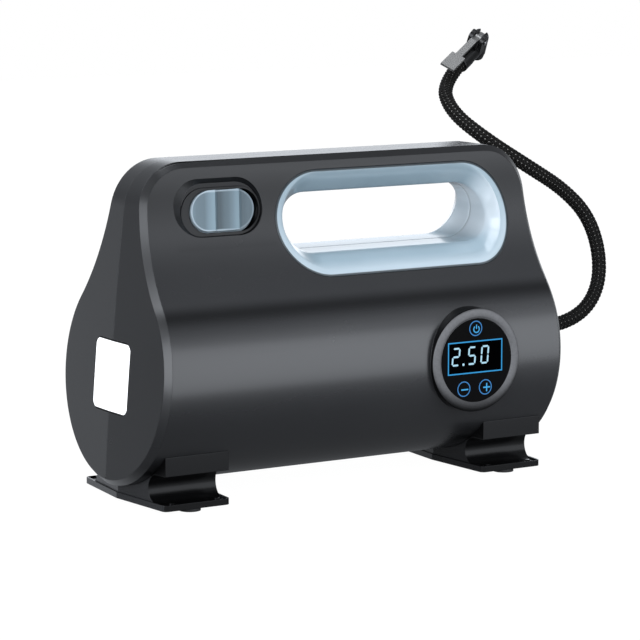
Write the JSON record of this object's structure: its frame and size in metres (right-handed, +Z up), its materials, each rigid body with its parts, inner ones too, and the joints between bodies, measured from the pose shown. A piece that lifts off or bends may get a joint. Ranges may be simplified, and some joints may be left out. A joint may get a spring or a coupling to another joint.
{
  "type": "portable tire inflator",
  "caption": "Cordless tire inflator: a barrel housing with a grip opening, round pressure display, slide switch, end lamp, scooped feet and a braided hose with a lever chuck",
  "frame": {"origin": "bottom centre of the inflator without its hose, where the pads rest", "axes": "+X along the barrel toward the hose, -Y toward the display, +Z up"},
  "size_m": [0.3398, 0.1697, 0.2388],
  "materials": {
    "housing": "satin moulded dark grey",
    "liner": "glossy pale blue-grey",
    "foot": "satin black",
    "pad": "matt",
    "lamp": "white lit diffuser",
    "bezel": "satin metal",
    "display": "black cover with lit figures",
    "board": "circuit board",
    "slider": "satin blue-grey",
    "inner": "moulded",
    "steel": "brushed",
    "alloy": "cast",
    "gear": "moulded nylon",
    "brass": "turned",
    "seal": "matt",
    "cell": "wrapped cell",
    "tube": "silicone",
    "braid": "woven braid",
    "chuck": "black moulded",
    "lever": "satin metal"
  },
  "bodies": {
    "housing": {"front_shell": "housing", "rear_shell": "housing", "front_grip_liner": "liner", "rear_grip_liner": "liner", "lamp_lens": "lamp", "housing_screws": "steel", "left_foot": "foot", "right_foot": "foot", "foot_pads": "pad", "foot_screws": "steel", "display_bezel": "bezel", "display_lens": "display", "display_board": "board", "rear_vent": "inner", "lamp_board": "board", "switch_bezel": "housing", "switch_body": "inner", "motor_can": "steel", "crank_axle": "steel", "axle_clip": "steel", "pump_frame": "alloy", "frame_screws": "steel", "motor_screws": "steel", "pump_cylinder": "alloy", "cylinder_head": "alloy", "head_screws": "steel", "air_tube": "tube", "hose_socket": "brass", "hose_gland": "seal", "air_hose": "braid", "hose_ferrule": "chuck", "chuck_body": "chuck", "chuck_nozzle": "chuck", "chuck_seal": "seal", "valve_depressor": "brass", "lever_pin": "steel", "battery_cells": "cell", "battery_contacts": "brass", "battery_holder": "inner", "main_board": "board", "pressure_sensor": "steel", "charge_socket": "steel"},
    "rotor": {"motor_shaft": "steel", "motor_armature": "steel", "drive_pinion": "brass", "cooling_fan": "inner"},
    "crank": {"crank_gear": "gear", "crank_bush": "brass"},
    "piston": {"piston_rod": "alloy", "crank_pin": "steel", "piston_cup": "seal", "cup_clamp": "steel"},
    "slider": {"switch_slider": "slider"},
    "lever": {"chuck_lever": "lever"}
  },
  "joints": [
    {"name": "rotor_spin", "type": "hinge", "parent": "housing", "child": "rotor", "pos_m": [-0.048, 0, 0.0636], "axis": [0, 1, 0], "continuous": true},
    {"name": "crank_spin", "type": "hinge", "parent": "housing", "child": "crank", "pos_m": [-0.015, -0.026, 0.0636], "axis": [0, 1, 0], "continuous": true},
    {"name": "piston_slide", "type": "slide", "parent": "housing", "child": "piston", "axis": [1, 0, 0], "range_m": [0, 0.014]},
    {"name": "switch_slide", "type": "slide", "parent": "housing", "child": "slider", "axis": [1, 0, 0], "range_m": [0, 0.0034]},
    {"name": "lever_pivot", "type": "hinge", "parent": "housing", "child": "lever", "pos_m": [0.17122, 0.09162, 0.23281], "axis": [-0.5423, 0.7054, 0.4565], "range_deg": [0, 80]}
  ],
  "couplings": [
    {"joint": "crank_spin", "follows": "rotor_spin", "ratio": -0.22222}
  ]
}
